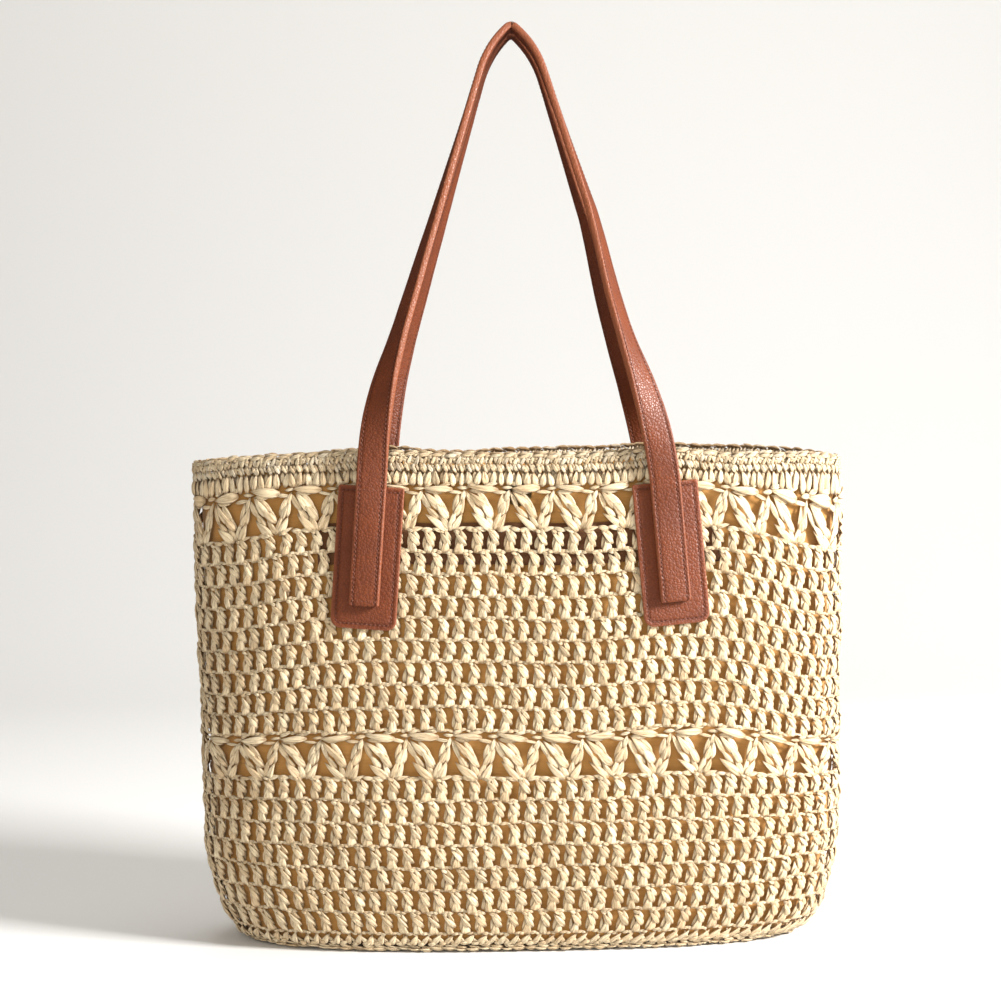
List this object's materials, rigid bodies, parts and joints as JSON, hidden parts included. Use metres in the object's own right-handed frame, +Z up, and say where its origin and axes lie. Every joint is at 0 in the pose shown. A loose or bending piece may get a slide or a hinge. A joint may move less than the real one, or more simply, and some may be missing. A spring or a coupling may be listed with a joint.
{
  "type": "beach bag",
  "caption": "Crocheted straw tote with an oval base, bands of openwork fans, a fabric lining, a dense rim, and long leather handles sewn to leather tabs.",
  "frame": {"origin": "on the surface under the middle of the flat base", "axes": "+X across the width, -Y the front, +Z up towards the handles"},
  "size_m": [0.398, 0.126, 0.5535],
  "materials": {
    "straw": "natural paper straw, soft sheen",
    "lining": "matte plain weave",
    "leather": "pebbled grain, satin",
    "tape": "dark woven tape",
    "metal": "antique, satin"
  },
  "bodies": {
    "bag": {"crochet_base": "straw", "crochet_ridge": "straw", "crochet_lower": "straw", "fan_band_lower": "straw", "crochet_upper": "straw", "fan_band_upper": "straw", "crochet_rim": "straw", "rim_braid": "straw", "lining_base": "lining", "lining_wall": "lining", "front_stiffener": "tape", "back_stiffener": "tape", "front_left_tab": "leather", "front_right_tab": "leather", "back_left_tab": "leather", "back_right_tab": "leather", "front_left_strap_end": "leather", "front_right_strap_end": "leather", "back_left_strap_end": "leather", "back_right_strap_end": "leather", "snap_socket": "metal", "snap_stud": "metal", "snap_socket_plate": "metal", "snap_stud_plate": "metal", "pocket_pouch": "lining", "zip_tape_upper": "tape", "zip_tape_lower": "tape", "zip_teeth": "metal", "zip_stops": "metal"},
    "front_handle": {"front_strap": "leather"},
    "back_handle": {"back_strap": "leather"},
    "slider": {"zip_slider": "metal"},
    "puller": {"zip_puller": "metal"}
  },
  "joints": [
    {"name": "front_handle_fold", "type": "hinge", "parent": "bag", "child": "front_handle", "pos_m": [0, -0.0633, 0.277], "axis": [1, 0, 0], "range_deg": [0, 165]},
    {"name": "back_handle_fold", "type": "hinge", "parent": "bag", "child": "back_handle", "pos_m": [0, 0.0633, 0.277], "axis": [-1, 0, 0], "range_deg": [0, 165]},
    {"name": "zip_slide", "type": "slide", "parent": "bag", "child": "slider", "axis": [-1, 0, 0], "range_m": [0, 0.122]},
    {"name": "puller_swing", "type": "hinge", "parent": "slider", "child": "puller", "pos_m": [0.061, 0.04465, 0.214], "axis": [-1, 0, 0], "range_deg": [0, 150]}
  ]
}
